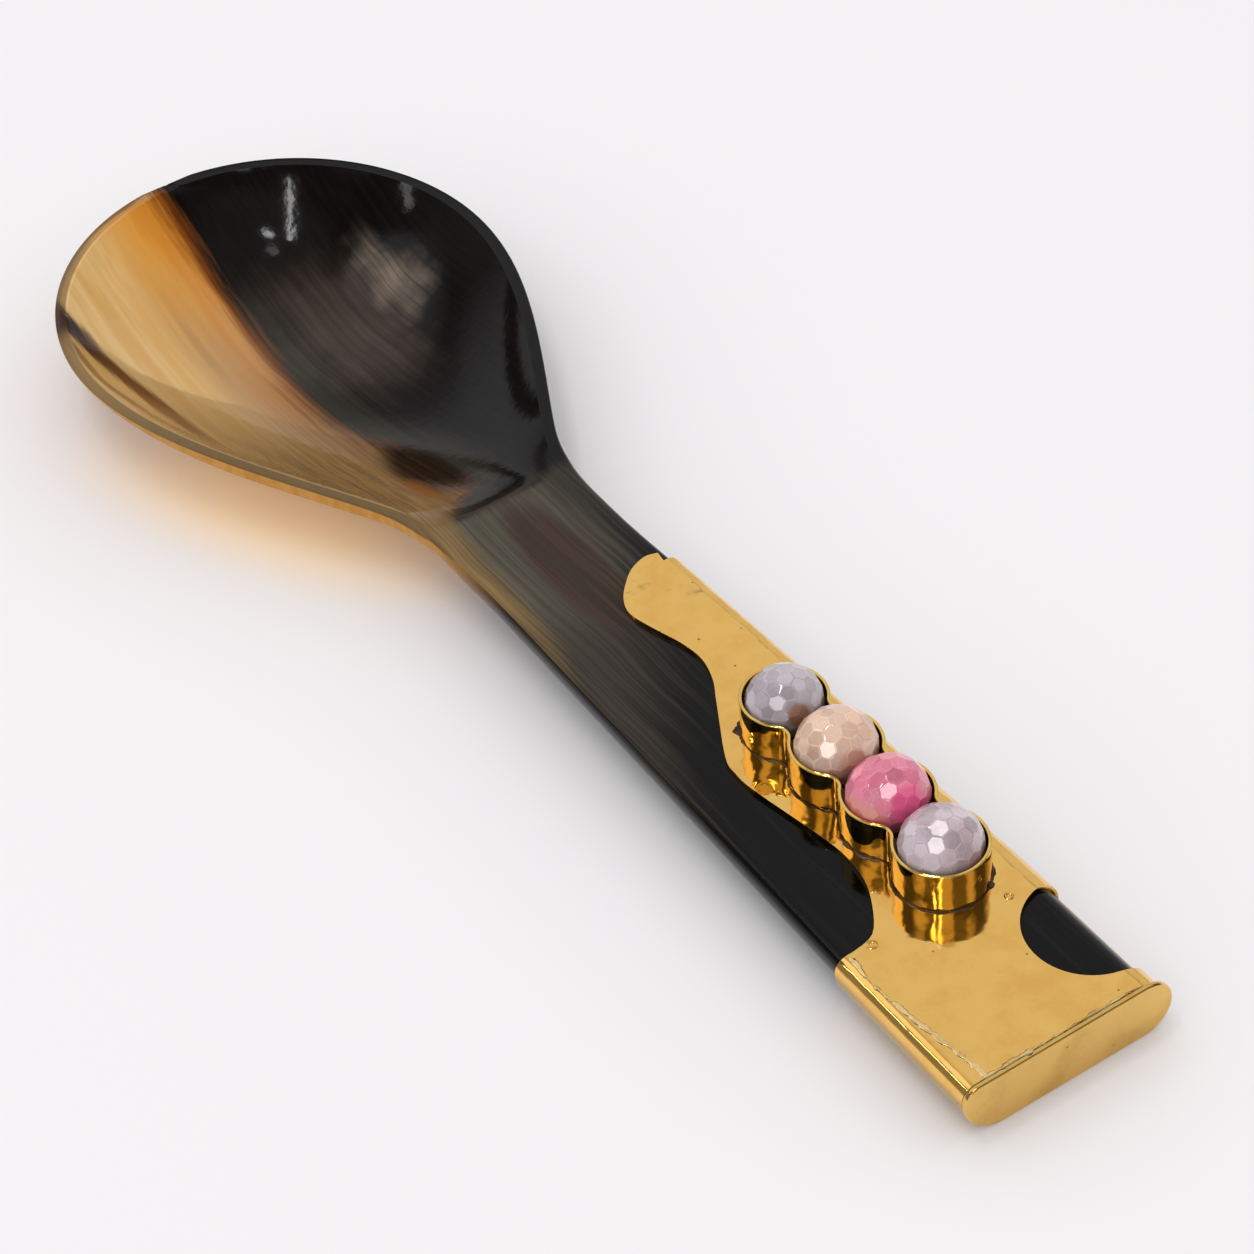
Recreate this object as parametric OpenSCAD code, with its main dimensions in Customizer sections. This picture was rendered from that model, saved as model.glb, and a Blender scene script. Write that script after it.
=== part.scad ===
// Horn serving spoon with a folded brass handle mount and a row of four faceted beads.
// The spoon lies as it rests on a table: the bowl stands on its curved bottom and the
// handle on the lower edge of its end plate. +X points to the tip of the bowl, +Z up.
// Lengths are in millimetres and angles in degrees.

/* [Bowl] */
// Widest outside width of the bowl
bowl_w = 74.4; // [64:0.2:84]
// Length from the widest place to the tip
bowl_front = 41.2; // [34:0.2:52]
// Length from the neck to the widest place
bowl_back = 65; // [54:0.5:76]
// Depth of the hollow below the rim
bowl_depth = 13.4; // [11.5:0.1:18]
// Thickness of the horn at the bottom of the bowl
bowl_wall = 2.2; // [1.6:0.1:3]
// Width of the flat top of the rim
rim_w = 2.2; // [1.6:0.1:3]
// Height of the rim's upright outer edge beside the neck
rim_edge = 2.1; // [1.6:0.1:2.8]
// Height of the rim's upright outer edge round the tip
tip_edge = 0.5; // [0.4:0.05:1.2]

/* [Handle] */
// Length of the horn from its end to the neck
handle_len = 137; // [126:1:160]
// Width of the horn inside the sleeve
end_w = 31.8; // [30:0.1:33]
// Width of the horn at the neck
neck_w = 24.7; // [22:0.1:27]
// Thickness of the horn inside the sleeve
end_t = 7.6; // [6.8:0.1:9]
// Thickness of the horn at the neck
neck_t = 7; // [5.6:0.1:8]
// Radius of the handle's upper long edges
edge_r = 1.5; // [1:0.1:2]
// Radius of the far upper edge inside the sleeve, where the brass folds round it
far_r = 3.6; // [2.4:0.1:3.8]
// Angle between the sleeve and the rest of the horn
handle_turn = 0.75; // [0:0.05:1.2]

/* [Brass mount] */
// Thickness of the brass sheet
sheet = 0.7; // [0.5:0.05:1]
// Room between the sheet and the horn
seat_gap = 0.05; // [0.03:0.01:0.15]
// Length of the closed sleeve
sleeve_len = 27.6; // [26.6:0.1:29]
// Reach of the tongue from the handle's end
tongue_len = 110.3; // [106:0.1:115]
// How far the folded edge comes down the side of the handle
fold_drop = 4.2; // [4:0.1:4.6]
// Radius of the bite out of the far edge
bite_r = 9.3; // [7:0.1:10]
// Distance from the handle's end to the middle of the bite
bite_x = 12.7; // [11.8:0.1:14]
// Thickness of the end plate
plate_t = 1; // [0.7:0.1:1.6]
// How far the end plate stands out round the sleeve
plate_lip = 0.1; // [0.05:0.05:0.4]
// How much further the end plate stands out at its far end
plate_far = 0.8; // [0:0.1:1.2]

/* [Beads and bezel] */
// Length of a bead along the row
bead_long = 11.8; // [11:0.1:11.9]
// Width of a bead across the row
bead_wide = 12.4; // [11.6:0.1:12.5]
// Height of a bead
bead_high = 11.6; // [10.8:0.1:12]
// Distance from one bead to the next
bead_pitch = 11.9; // [11.9:0.05:12.4]
// Outer radius of each lobe of the bezel
lobe_r = 6.85; // [6.8:0.05:7.2]
// Outer radius of the lobe round the grey bead
small_lobe_r = 6.5; // [6.2:0.05:6.8]
// Radius of the bends between the lobes
cusp_r = 2; // [1.4:0.1:2.6]
// Thickness of the bezel strip
strip = 0.5; // [0.3:0.05:0.6]
// Height of the bezel
bezel_h = 6.7; // [5:0.1:8]
// Distance from the handle's end to the middle of the row
row_x = 49.45; // [49:0.05:52]
// Distance of the row from the handle's middle line
row_y = -4.25; // [-4.8:0.05:-3.8]
// Depth of the setting cement round the beads
cement_h = 3; // [2:0.1:4]

/* [Hidden] */
$fn = 64;

// The neck, the widest place and the deepest place along the spoon
neck_x = handle_len;
wide_x = neck_x + bowl_back;
tip_x = wide_x + bowl_front;
lip_x = neck_x - 1;
deep_x = wide_x - 3;

// Plan of the flank at the neck: its slope, and the softness of the corner there
flank_slope = 0.46;
neck_blend = 3;

// Upright part of the handle's sides, between the upper edge and the rounded underside
side_flat = 0.3;

// Sharpness of the hollow's profile towards the neck, the tip and the sides
back_power = 1.9;
front_power = 2.4;
side_power = 2.4;

// Small radius on the outer edge of the rim
rim_r = 0.4;

// Levels above the flat top of the horn, which is z = 0
sheet_z = seat_gap;
seat_z = sheet_z + sheet;
sleeve_low = end_t + seat_gap + sheet;
plate_low = sleeve_low + plate_lip;

function mix(a, b, t) = a + (b - a) * t;
function clamp01(t) = min(1, max(0, t));
function ease(t) = let (c = clamp01(t)) c * c * (3 - 2 * c);

// 0 on the handle and 1 in the bowl, changing smoothly across the neck
function bowlness(x) = ease((x - neck_x + 14) / 26);

// Half width of the handle: parallel in the sleeve, then narrowing in a straight line
function handle_half(x) = x < sleeve_len ? end_w / 2
    : mix(end_w / 2, neck_w / 2, (x - sleeve_len) / (neck_x - sleeve_len));

// Half width of a bowl of half width w: a soft flank behind the widest place, an ellipse before it
function flank_half(x, w) = let (u = (x - neck_x) / bowl_back)
    neck_w / 2 * (2 * u ^ 3 - 3 * u ^ 2 + 1)
    + flank_slope * bowl_back * (u ^ 3 - 2 * u ^ 2 + u)
    + w * (3 * u ^ 2 - 2 * u ^ 3);
function nose_half(x, w, front) = w * sqrt(max(0, 1 - ((x - wide_x) / front) ^ 2));
function soft_max(a, b, k) = (a + b + sqrt((a - b) ^ 2 + k ^ 2)) / 2;
function neck_soft(x) = neck_blend * ease((x - neck_x + 26) / 16) * ease(1 - (x - neck_x) / 14);
function outer_half(x) = x > wide_x ? nose_half(x, bowl_w / 2, bowl_front)
    : soft_max(handle_half(x), x < neck_x ? neck_w / 2 + flank_slope * (x - neck_x)
                                          : flank_half(x, bowl_w / 2), neck_soft(x));
function inner_half(x) = x > wide_x
    ? max(nose_half(x, bowl_w / 2 - rim_w, bowl_front - rim_w), 0.15 * outer_half(x))
    : outer_half(x) - rim_w;

// Length of the tongue beyond the sleeve, and the place where its folded edge ends
free_len = tongue_len - sleeve_len;
fold_end = sleeve_len + 0.97 * free_len;

// Radius of the far upper edge, which gets sharper along the fold
function far_edge_r(x) = mix(far_r, edge_r, clamp01((x - sleeve_len) / (fold_end - sleeve_len)));

// Middle line in plan, and the depth of the hollow and of the underside along it
function mid_line(x) = max(0, x - sleeve_len) * tan(handle_turn);
function hollow_mid(x) = x <= lip_x ? 0
    : x < deep_x ? bowl_depth * (1 - ((deep_x - x) / (deep_x - lip_x)) ^ back_power)
    : bowl_depth * (1 - clamp01((x - deep_x) / (tip_x - rim_w - deep_x)) ^ front_power);
lip_slope = bowl_depth * back_power / (deep_x - lip_x);
thick_run = 2 * (neck_t - bowl_wall) / lip_slope;
function horn_t(x) = x < sleeve_len ? end_t
    : x < lip_x ? mix(end_t, neck_t, (x - sleeve_len) / (lip_x - sleeve_len))
    : bowl_wall + (neck_t - bowl_wall) * clamp01(1 - (x - lip_x) / thick_run) ^ 2;
function under_mid(x) = x < deep_x ? hollow_mid(x) + horn_t(x)
    : tip_edge + (bowl_depth + bowl_wall - tip_edge)
      * (1 - clamp01((x - deep_x) / (tip_x - deep_x)) ^ front_power);

// Height of the hollow's surface and of the underside at a place across the spoon
function hollow_z(x, y) = -hollow_mid(x) * (1 - clamp01(abs(y) / inner_half(x)) ^ side_power);
edge_fade = 42;
function bowl_edge(x) = mix(rim_edge, tip_edge, ease((x - wide_x + 38) / edge_fade));

// The side and the underside, where r is the radius of the upper edge on that side of the handle
function side_low(x, r) = mix(r + side_flat, bowl_edge(x), bowlness(x));
function under_r(x, r) = horn_t(min(x, lip_x)) - r - side_flat;
function under_z(x, y, r) = let (s = bowlness(x), w = outer_half(x),
    corner = mix(under_r(x, r), w, s),
    v = clamp01((abs(y) - (w - corner)) / corner),
    fall = (1 - v ^ mix(2, side_power, s)) ^ mix(0.5, 1, s))
    -side_low(x, r) - (under_mid(x) - side_low(x, r)) * fall;

// Half of a section, from the middle of the top round the edge to the middle of the underside
top_steps = [0, 0.2, 0.4, 0.6, 0.78, 0.92, 1];
arc_steps = [0, 22.5, 45, 67.5, 90];
low_steps = [0.985, 0.94, 0.88, 0.8, 0.71, 0.6, 0.4, 0.2, 0];
function low_place(x, g, r) = let (w = outer_half(x), turn = mix(under_r(x, r), 0.25 * w, bowlness(x)))
    g > 0.7 ? w - turn * (1 - g) / 0.3 * 0.999 : (w - turn) * g / 0.7;
function half_section(x, r) = let (w = outer_half(x), top_r = mix(r, rim_r, bowlness(x)),
    inner = min(inner_half(x), w - top_r - 0.2))
    concat([for (f = top_steps) [inner * f, hollow_z(x, inner * f)]],
           [for (a = arc_steps) [w - top_r + top_r * sin(a), -top_r + top_r * cos(a)]],
           [[w, -side_low(x, r)]],
           [for (g = low_steps) [low_place(x, g, r), under_z(x, low_place(x, g, r), r)]]);
function section(x) = let (near = half_section(x, edge_r), far = half_section(x, far_edge_r(x)), n = len(near))
    concat([for (p = near) [x, mid_line(x) + p[0], p[1]]],
           [for (i = [n - 2 : -1 : 1]) [x, mid_line(x) - far[i][0], far[i][1]]]);

// Places along the spoon where a section is taken, closer together where the shape turns
front_steps = 11;
nose_steps = 4;
nose_angle = asin((bowl_front - rim_w) / bowl_front);
last_angle = 86;
stations = concat(
    [0, sleeve_len],
    [for (i = [1 : 4]) mix(sleeve_len, neck_x - 12, i / 4)],
    [for (i = [1 : 6]) mix(neck_x - 12, lip_x, i / 6)],
    [for (i = [1 : 17]) mix(lip_x, wide_x, i / 17)],
    [for (i = [1 : front_steps]) wide_x + (bowl_front - rim_w) * sin(90 * i / front_steps)],
    [for (i = [1 : nose_steps]) wide_x + bowl_front * sin(mix(nose_angle, last_angle, i / nose_steps))]);

// The spoon is tipped so that the bowl and the end plate's lower edge touch the table
tilt = max([for (x = stations) if (x > neck_x) atan2(under_mid(x) - plate_low, x + plate_t)]);
lift = plate_low * cos(tilt) + plate_t * sin(tilt);
back_x = -plate_t * cos(tilt) - (seat_z + plate_lip) * sin(tilt);
front_x = tip_x * cos(tilt) + tip_edge * sin(tilt);
left_y = max([for (x = stations) mid_line(x) + outer_half(x)]);
right_y = max([for (x = stations) outer_half(x) - mid_line(x)]);

module place() {
    translate([-(front_x + back_x) / 2, (right_y - left_y) / 2, lift])
        rotate([0, -tilt, 0])
            children();
}

// Triangles that fill a symmetric ring of n points, joining its top to its underside.
// Point 0 is the middle of the top and point n / 2 the middle of the underside.
function cap(n) = let (h = n / 2) [for (j = [0 : floor(h / 2) - 1])
    let (k = h - j, quad = j + 1 < k - 1)
    each concat([[j, j + 1, k], [n - j - 1, (n - j) % n, n - k]],
                quad ? [[j + 1, k - 1, k], [n - k + 1, n - j - 1, n - k]] : [])];
function flip(faces) = [for (f = faces) [f[2], f[1], f[0]]];
function raise_by(faces, by) = [for (f = faces) [for (i = f) i + by]];

// A closed loft through symmetric rings of points that all have the same number of points
module loft(rings) {
    n = len(rings[0]);
    last = len(rings) - 1;
    points = [for (r = rings) each r];
    sides = [for (i = [0 : last - 1], j = [0 : n - 1])
        let (a = i * n + j, b = i * n + (j + 1) % n, c = b + n, d = a + n)
        each (j < n / 2 ? [[a, b, c], [a, c, d]] : [[a, b, d], [b, c, d]])];
    ends = concat(flip(cap(n)), raise_by(cap(n), last * n));
    polyhedron(points = points, faces = concat(sides, ends), convexity = 6);
}

module horn_spoon() {
    color([0.2, 0.15, 0.1])
        place()
            loft([for (x = stations) section(x)]);
}

// Points of an arc round a middle, from one angle to another. The last point is there if last is 1.
arc_step = 6;
function arc(middle, r, start, end, last = 0) = let (n = ceil(abs(end - start) / arc_step))
    [for (k = [0 : n - 1 + last]) let (a = mix(start, end, k / n)) middle + r * [cos(a), sin(a)]];

// A smooth curve through a list of points in plan
curve_steps = 4;
function curve_point(a, b, c, d, t) = 0.5 * ((2 * b) + (c - a) * t
    + (2 * a - 5 * b + 4 * c - d) * t ^ 2 + (3 * b - a - 3 * c + d) * t ^ 3);
function curve(p) = let (n = len(p)) concat(
    [for (i = [0 : n - 2], k = [0 : curve_steps - 1])
        curve_point(p[max(0, i - 1)], p[i], p[i + 1], p[min(n - 1, i + 2)], k / curve_steps)],
    [p[n - 1]]);

// Near edge of the tongue, a hand-cut wave from the sleeve's mouth round to the tip.
// Its lengths are measured from the sleeve's mouth, as shares of the tongue's free length.
wave = [for (p = [[0, 13.6], [0.012, 9.6], [0.065, 6.4], [0.12, 4.5], [0.18, 4], [0.247, 4.6], [0.392, 6.7],
                  [0.446, 6.9], [0.49, 6.1], [0.609, 0.8], [0.658, -1.4], [0.712, -2.6], [0.767, -2.2],
                  [0.827, -0.8], [0.888, 0.3], [0.928, -0.7], [0.961, -2.9], [0.987, -5.4], [1, -8.4],
                  [0.994, -10.5]])
        [sleeve_len + p[0] * free_len, p[1]]];

// Place across the handle where the far edge starts to turn down, and the width of the flat
// strip of the folded edge that overlaps the tongue
function bend_start(x) = mid_line(x) - handle_half(x) + far_edge_r(x);
fold_lap = 1;

module tongue() {
    translate([0, 0, sheet_z])
        linear_extrude(sheet)
            polygon(concat(
                [[sleeve_len - 1, 0], [sleeve_len - 1, wave[0][1]]],
                curve(wave),
                [[fold_end, bend_start(fold_end) + fold_lap / 2],
                 [sleeve_len - 1, bend_start(sleeve_len) + fold_lap / 2]]));
}

// The folded far edge at one place: down the outside of the sheet and back up its inside
function fold_side(x, grow) = let (r = far_edge_r(x), y = bend_start(x)) concat(
    [[x, y + fold_lap, grow]],
    [for (p = arc([y, -r], r + grow, 90, 180, 1)) [x, p[0], p[1]]],
    [[x, y - r - grow, -fold_drop]]);
function reverse(list) = [for (k = [len(list) - 1 : -1 : 0]) list[k]];
function fold_ring(x) = concat(fold_side(x, seat_z), reverse(fold_side(x, sheet_z)));

module folded_edge() {
    points = concat(fold_ring(sleeve_len), fold_ring(fold_end));
    n = len(points) / 2;
    sides = [for (j = [0 : n - 1]) let (k = (j + 1) % n) each [[j, n + k, k], [j, n + j, n + k]]];
    start = [for (j = [0 : n / 2 - 2]) each [[j, j + 1, n - 1 - j], [j + 1, n - 2 - j, n - 1 - j]]];
    polyhedron(points = points, faces = concat(sides, start, flip(raise_by(start, n))), convexity = 4);
}

// The horn's section inside the sleeve, grown outwards. The near upper corner is small and the far
// one large. far_out moves the far side further out.
module bar_section(grow, far_out = 0) {
    near_y = end_w / 2;
    far_y = -end_w / 2 - far_out;
    near_low = under_r(0, edge_r);
    far_low = under_r(0, far_r);
    polygon(concat(
        arc([near_y - edge_r, -edge_r], edge_r + grow, 0, 90, 1),
        arc([far_y + far_r, -far_r], far_r + grow, 90, 180, 1),
        arc([far_y + far_low, far_low - end_t], far_low + grow, 180, 270, 1),
        arc([near_y - near_low, near_low - end_t], near_low + grow, 270, 360, 1)));
}

// Turns a section drawn in y and z into a bar along +X
module along_x(length) {
    rotate([90, 0, 90])
        linear_extrude(length)
            children();
}

module sleeve() {
    along_x(sleeve_len)
        difference() {
            bar_section(seat_gap + sheet);
            bar_section(seat_gap);
        }
}

module brass_mount() {
    color([0.85, 0.66, 0.33])
        place()
            difference() {
                union() {
                    sleeve();
                    tongue();
                    folded_edge();
                }
                translate([bite_x, 0.5 - end_w / 2 + seat_gap + sheet, -end_t / 2])
                    cylinder(r = bite_r, h = end_t);
            }
}

module end_plate() {
    color([0.82, 0.63, 0.32])
        place()
            translate([-plate_t, 0, 0])
                along_x(plate_t)
                    bar_section(seat_gap + sheet + plate_lip, plate_far);
}

// Lobe 0 holds the grey bead, nearest the bowl. It is smaller, and level with the others on the near side.
function lobe_size(i) = i == 0 ? small_lobe_r : lobe_r;
function lobe_at(i) = [(1.5 - i) * bead_pitch, lobe_r - lobe_size(i)];

// Middle of the round bend that touches lobes i and i + 1 from outside
function bend_at(i, side) = let (
    start = lobe_at(i), way = lobe_at(i + 1) - start, apart = norm(way),
    r1 = lobe_size(i) + cusp_r, r2 = lobe_size(i + 1) + cusp_r,
    along = (r1 ^ 2 - r2 ^ 2 + apart ^ 2) / (2 * apart))
    start + along * way / apart + side * sqrt(r1 ^ 2 - along ^ 2) * [-way[1], way[0]] / apart;

function angle_to(from, to) = atan2(to[1] - from[1], to[0] - from[0]);
function lobe_arc(i, grow, from, to, whole = 0) =
    arc(lobe_at(i), lobe_size(i) + grow, angle_to(lobe_at(i), from), angle_to(lobe_at(i), to) + whole);
function bend_arc(i, side, grow, from, to) =
    arc(bend_at(i, side), cusp_r - grow, angle_to(bend_at(i, side), lobe_at(from)),
        angle_to(bend_at(i, side), lobe_at(to)));

// The row of lobes in plan, with soft inward bends between them. The outline runs round lobe 0,
// along one side, round lobe 3 and back along the other side.
module lobes(grow) {
    polygon(concat(
        lobe_arc(0, grow, bend_at(0, 1), bend_at(0, -1)),
        [for (i = [0 : 2]) each concat(
            bend_arc(i, -1, grow, i, i + 1),
            i < 2 ? lobe_arc(i + 1, grow, bend_at(i, -1), bend_at(i + 1, -1)) : [])],
        lobe_arc(3, grow, bend_at(2, -1), bend_at(2, 1), 360),
        [for (i = [2 : -1 : 0]) each concat(
            bend_arc(i, 1, grow, i + 1, i),
            i > 0 ? lobe_arc(i, grow, bend_at(i, 1), bend_at(i - 1, 1)) : [])]));
}

module in_row() {
    translate([row_x, row_y, seat_z])
        children();
}

module bezel_strip() {
    color([0.8, 0.6, 0.28])
        place()
            in_row()
                linear_extrude(bezel_h)
                    difference() {
                        lobes(0);
                        lobes(-strip);
                    }
}

// A bead is cut with flat facets all round. Each facet faces one point of an evenly divided
// ball with twenty triangular sides, and each corner is where three facets meet.
facet_steps = 3;
golden = (1 + sqrt(5)) / 2;
ball_corners = [for (s = [-1, 1], t = [-golden, golden]) each [[0, s, t], [s, t, 0], [t, 0, s]]];
ball_sides = [for (a = [0 : 11], b = [a + 1 : 1 : 11], c = [b + 1 : 1 : 11])
    if (norm(ball_corners[a] - ball_corners[b]) < 2.1 && norm(ball_corners[b] - ball_corners[c]) < 2.1
        && norm(ball_corners[a] - ball_corners[c]) < 2.1)
        [ball_corners[a], ball_corners[b], ball_corners[c]]];
function unit(v) = v / norm(v);
function facet_way(s, i, j) = unit((s[0] * (facet_steps - i - j) + s[1] * i + s[2] * j) / facet_steps);
function meet(a, b, c) = (cross(b, c) + cross(c, a) + cross(a, b)) / (a * cross(b, c));
bead_corners = [for (s = ball_sides, i = [0 : facet_steps - 1], j = [0 : facet_steps - 1 - i]) each concat(
    [meet(facet_way(s, i, j), facet_way(s, i + 1, j), facet_way(s, i, j + 1))],
    i + j < facet_steps - 1
        ? [meet(facet_way(s, i + 1, j + 1), facet_way(s, i + 1, j), facet_way(s, i, j + 1))] : [])];
bead_reach = max([for (p = bead_corners) norm(p)]);
bead_turns = [[12, 31, 5], [44, 8, 63], [71, 52, 20], [25, 77, 38]];

function bead_share(i) = lobe_size(i) / lobe_r;

module bead(i) {
    place()
        in_row()
            translate(concat(lobe_at(i), bead_share(i) * bead_high / 2))
                hull()
                    scale(bead_share(i) * [bead_long, bead_wide, bead_high] / 2 / bead_reach)
                        rotate(bead_turns[i])
                            polyhedron(points = bead_corners,
                                       faces = [for (k = [0 : 3 : len(bead_corners) - 1]) [k, k + 1, k + 2]]);
}

module bead_grey() {
    color([0.62, 0.58, 0.6])
        bead(0);
}

module bead_peach() {
    color([0.84, 0.68, 0.57])
        bead(1);
}

module bead_pink() {
    color([0.84, 0.45, 0.53])
        bead(2);
}

module bead_lilac() {
    color([0.72, 0.66, 0.69])
        bead(3);
}

// Radius of the round hollow that the cement leaves for a bead
function seat_r(i) = let (high = bead_share(i) * bead_high / 2)
    bead_share(i) * bead_wide / 2 * sqrt(1 - (1 - cement_h / high) ^ 2) + seat_gap;

module setting_cement() {
    color([0.35, 0.3, 0.26])
        place()
            in_row()
                linear_extrude(cement_h)
                    difference() {
                        lobes(-strip - seat_gap);
                        for (i = [0 : 3])
                            translate(lobe_at(i))
                                circle(seat_r(i));
                    }
}

horn_spoon();
brass_mount();
end_plate();
bezel_strip();
bead_grey();
bead_peach();
bead_pink();
bead_lilac();
setting_cement();
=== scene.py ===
# %% [markdown]
# # A horn serving spoon with a brass mount and four faceted beads
# The spoon was carved from one piece of horn, and a goldsmith wrapped its handle in brass sheet.
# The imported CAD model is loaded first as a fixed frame. Each visible piece is then modelled over
# it, in the same place, with the edges, solder and polish that the plain solids don't have.

# %% Load the frame and keep its box
import math

import bpy
import numpy as np
from mathutils import Matrix, Vector


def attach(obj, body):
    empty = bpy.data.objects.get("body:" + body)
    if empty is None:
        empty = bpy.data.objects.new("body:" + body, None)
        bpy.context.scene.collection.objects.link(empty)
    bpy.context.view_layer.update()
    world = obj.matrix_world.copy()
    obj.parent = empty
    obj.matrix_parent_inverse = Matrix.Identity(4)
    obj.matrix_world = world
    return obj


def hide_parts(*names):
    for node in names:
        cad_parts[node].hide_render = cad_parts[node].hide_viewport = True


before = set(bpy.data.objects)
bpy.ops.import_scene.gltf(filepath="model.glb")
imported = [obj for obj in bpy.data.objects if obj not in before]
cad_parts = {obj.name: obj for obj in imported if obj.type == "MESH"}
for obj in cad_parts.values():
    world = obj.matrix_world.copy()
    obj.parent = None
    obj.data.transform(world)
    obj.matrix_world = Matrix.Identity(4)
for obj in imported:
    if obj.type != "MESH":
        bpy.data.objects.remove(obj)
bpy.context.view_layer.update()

print("frame nodes:", sorted(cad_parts))

# %% [markdown]
# The spoon was drawn lying straight, with its flat top at height 0 and its length along x from
# the cut end of the horn. It was then tipped by about two degrees, so that the bowl and the end
# plate touch the table. The same step, kept as one matrix, lets every piece here be drawn in the
# simple straight position, in millimetres, and then be laid down with the rest.

# %% From the straight drawing to the table
MM = 0.001
tilt = math.radians(2.06829)
lift = 8.48059
# The two ends and the two sides of the tipped spoon. The frame's origin is midway between them.
ends_x, sides_y = (-1.03003, 243.06), (-34.917, 39.483)
laid_down = (Matrix.Translation(Vector((-sum(ends_x) / 2, -sum(sides_y) / 2, lift)) * MM)
             @ Matrix.Rotation(-tilt, 4, "Y") @ Matrix.Scale(MM, 4))


def lay(points):
    """Places drawn in millimetres, laid down on the table and turned into metres."""
    flat = np.asarray(points, float).reshape(-1, 3)
    step = np.array(laid_down)
    return flat @ step[:3, :3].T + step[:3, 3]


def stand(thing, right, up, back, at):
    """Puts a camera or a lamp at a place, with its own axes along three directions."""
    bpy.context.scene.collection.objects.link(thing)
    thing.matrix_world = Matrix([(*way, 0) for way in (right, up, back)] + [(*at, 1)]).transposed()


print("the end of the horn lies at", lay((0, 0, 0))[0].round(4))

# %% [markdown]
# ## Camera, floor and light
# The camera looks down at about forty degrees, from the side of the wavy brass edge. Its place
# and its lens were worked out from the rims of the bezel and the edges of the handle.

# %% Camera
picture_side, focal_length = 1254, 3500.217  # in pixels of the picture
right = Vector((-0.5495122, -0.8305206, -0.0909501))
up = Vector((0.5120557, -0.4208031, 0.7488149))
forward = Vector((0.6601783, -0.3649114, -0.6565092))
camera_at = Vector((-0.3622028, 0.1879440, 0.3510099))
camera_data = bpy.data.cameras.new("camera")
camera_data.sensor_width = 36
camera_data.lens = focal_length * 36 / picture_side
camera_data.clip_start = 0.01
camera = bpy.data.objects.new("camera", camera_data)
stand(camera, right, up, -forward, camera_at)
bpy.context.scene.camera = camera
bpy.context.scene.view_settings.view_transform = "Standard"
print("lens:", round(camera_data.lens, 2), "mm")


# %% [markdown]
# Materials are made of nodes. These short helpers add a node, set its inputs, and turn a colour
# that was read on a 0 to 255 scale into the linear values that Blender works with.

# %% Helpers for materials and colours
def paint(r, g, b):
    """A screen colour, 0 to 255, as linear RGBA."""
    def linear(v):
        v /= 255
        return v / 12.92 if v <= 0.04045 else ((v + 0.055) / 1.055) ** 2.4
    return (linear(r), linear(g), linear(b), 1.0)


def add(tree, kind, inputs=None, **settings):
    """Adds a node. An input given as a socket is linked, and any other value is set."""
    made = tree.nodes.new(kind)
    for key, value in settings.items():
        setattr(made, key, value)
    for key, value in (inputs or {}).items():
        if isinstance(value, bpy.types.NodeSocket):
            tree.links.new(value, made.inputs[key])
        else:
            made.inputs[key].default_value = value
    return made


def new_material(name):
    material = bpy.data.materials.new(name)
    material.use_nodes = True
    material.node_tree.nodes.clear()
    return material, material.node_tree


def surface(tree, inputs):
    """Ends a material with a Principled shader that has these inputs."""
    shader = add(tree, "ShaderNodeBsdfPrincipled", inputs)
    add(tree, "ShaderNodeOutputMaterial", {"Surface": shader.outputs[0]})


def xyz(tree, place):
    return add(tree, "ShaderNodeSeparateXYZ", {"Vector": place}).outputs


def stored(tree, name, wanted="Fac"):
    """A value that is stored on the mesh, or a place where "Vector" is wanted."""
    return add(tree, "ShaderNodeAttribute", attribute_name=name).outputs[wanted]


# %% [markdown]
# A pattern is worked out by many small nodes: sums, soft steps, distances and noises. A helper
# for each lets a pattern be read as one line. The last one lays colours over one another, as a
# painter does with glazes.

# %% Helpers for sums with nodes
def math_node(tree, operation, first, second=0.0, third=0.0):
    return add(tree, "ShaderNodeMath", {0: first, 1: second, 2: third},
               operation=operation).outputs[0]


def chain(tree, operation, values):
    """One operation over many values, in their order."""
    result = values[0]
    for value in values[1:]:
        result = math_node(tree, operation, result, value)
    return result


def times(tree, *values):
    return chain(tree, "MULTIPLY", values)


def apart(tree, value, mark):
    """How far a value is from a mark, to either side."""
    return math_node(tree, "ABSOLUTE", math_node(tree, "SUBTRACT", value, mark))


def vectors(tree, operation, *given, **scale):
    """The result of vector maths, which is one number for a length or a distance."""
    made = add(tree, "ShaderNodeVectorMath", {**dict(enumerate(given)), **scale},
               operation=operation)
    return made.outputs["Value" if operation in ("LENGTH", "DISTANCE") else "Vector"]


def ramp(tree, value, low, high, to_low=0.0, to_high=1.0):
    """A soft step of a value from low to high."""
    return add(tree, "ShaderNodeMapRange", {"Value": value, "From Min": low, "From Max": high,
                                            "To Min": to_low, "To Max": to_high},
               interpolation_type="SMOOTHSTEP").outputs["Result"]


def noise(tree, place, scale, detail=2.0, rough=0.5, distortion=0.0, wanted="Fac"):
    return add(tree, "ShaderNodeTexNoise", {"Vector": place, "Scale": scale, "Detail": detail,
                                            "Roughness": rough, "Distortion": distortion}
               ).outputs[wanted]


def mix(tree, share, first, second):
    """Mixes two colours and returns the colour socket."""
    return add(tree, "ShaderNodeMix", {0: share, 6: first, 7: second}, data_type="RGBA").outputs[2]


def glaze(tree, base, colour, *shares):
    """Lays a colour over another, as strongly as its shares multiplied."""
    return mix(tree, times(tree, *shares), base, colour)
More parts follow.
